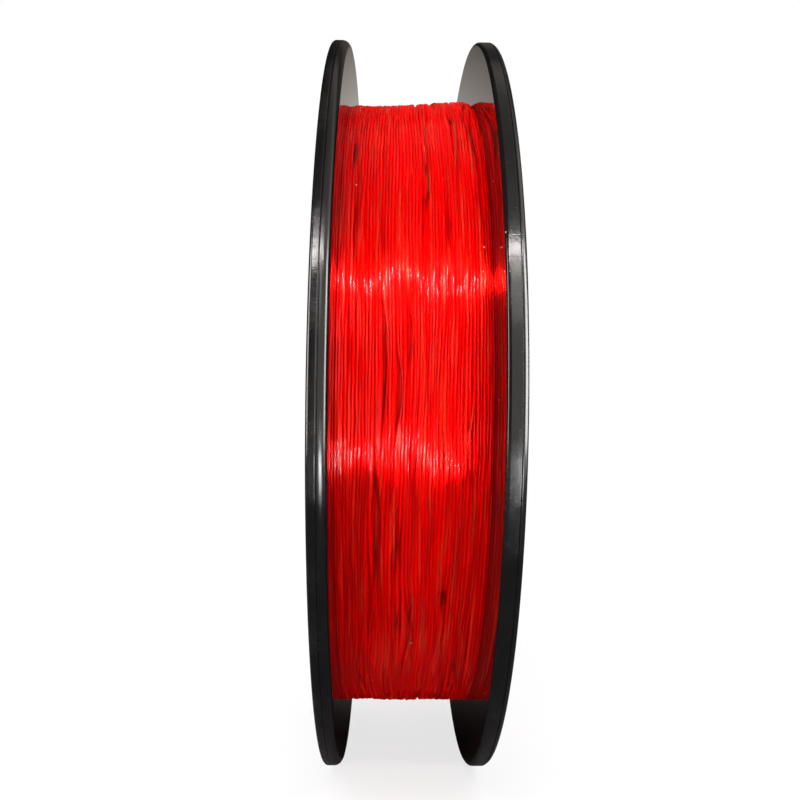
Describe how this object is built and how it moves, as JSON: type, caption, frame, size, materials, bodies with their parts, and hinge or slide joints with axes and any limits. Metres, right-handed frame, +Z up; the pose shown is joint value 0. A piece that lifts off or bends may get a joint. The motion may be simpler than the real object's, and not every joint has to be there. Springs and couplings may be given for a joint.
{
  "type": "fishing line spool",
  "caption": "Flat round line spool with two thin rimmed flanges, a drum with a spindle bore and a full winding of monofilament between the flanges.",
  "frame": {"origin": "centre of the spindle bore, halfway between the outer faces of the two covers", "axes": "+X along the spool's axis from the left flange, the one with the line slit, to the right flange; +Z up as the spool stands on the edges of its flanges; -Y towards the viewer"},
  "size_m": [0.02, 0.1, 0.1],
  "materials": {
    "flange_plastic": "glossy black injection-moulded polystyrene, lightly scuffed",
    "drum_plastic": "satin black injection-moulded polystyrene",
    "label_paper": "coated paper with plain coloured rings and no lettering",
    "tape": "clear adhesive tape, slightly yellow",
    "line": "translucent red monofilament nylon, glossy"
  },
  "bodies": {
    "root": {"hub_drum": "drum_plastic", "left_flange": "flange_plastic", "right_flange": "flange_plastic", "left_cover": "flange_plastic", "right_cover": "flange_plastic", "left_label": "label_paper", "right_label": "label_paper", "start_tape": "tape", "line_core": "line", "line_outer_layer": "line"}
  },
  "joints": []
}
